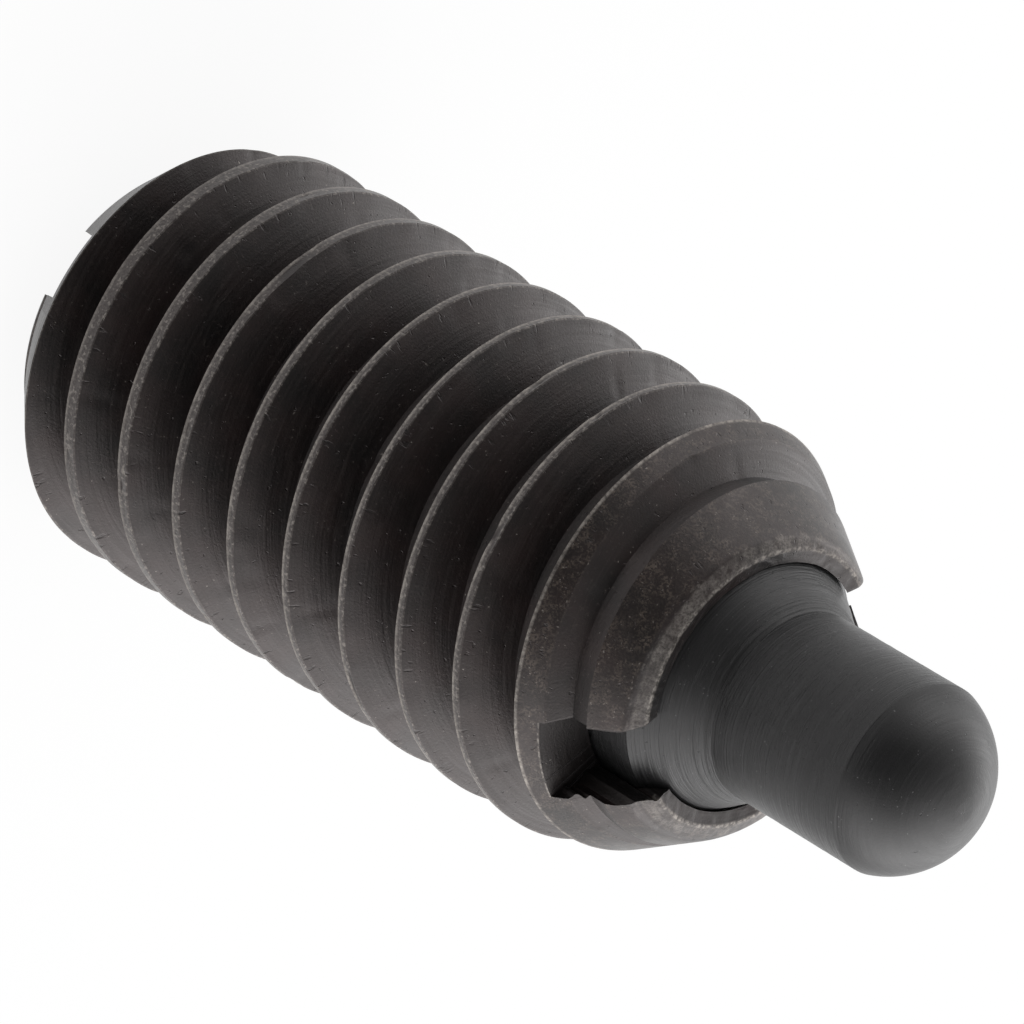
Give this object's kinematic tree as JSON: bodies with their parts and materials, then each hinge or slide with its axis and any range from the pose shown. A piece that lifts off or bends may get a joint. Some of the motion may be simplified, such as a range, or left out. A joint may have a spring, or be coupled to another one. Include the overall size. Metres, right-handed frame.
{
  "type": "spring plunger",
  "caption": "Slotted, threaded spring plunger: a screw body with a round-ended nose pin that gives way against a coil spring, for indexing and positioning.",
  "frame": {"origin": "centre of the body's slotted rear face, the end it stands on", "axes": "+Z along the screw axis, from the rear face towards the nose pin's round tip"},
  "size_m": [0.0078, 0.0078, 0.0199],
  "materials": {
    "body_steel": "black oxide, satin",
    "plunger_steel": "black oxide, smooth satin",
    "spring_steel": "drawn wire, satin"
  },
  "bodies": {
    "body": {"threaded_body": "body_steel", "coil_spring": "spring_steel"},
    "plunger": {"plunger": "plunger_steel"}
  },
  "joints": [
    {"name": "plunger_slide", "type": "slide", "parent": "body", "child": "plunger", "axis": [0, 0, 1], "range_m": [-0.00478, 0], "stiffness_N_per_m": 4400, "deforming": ["coil_spring"]}
  ]
}
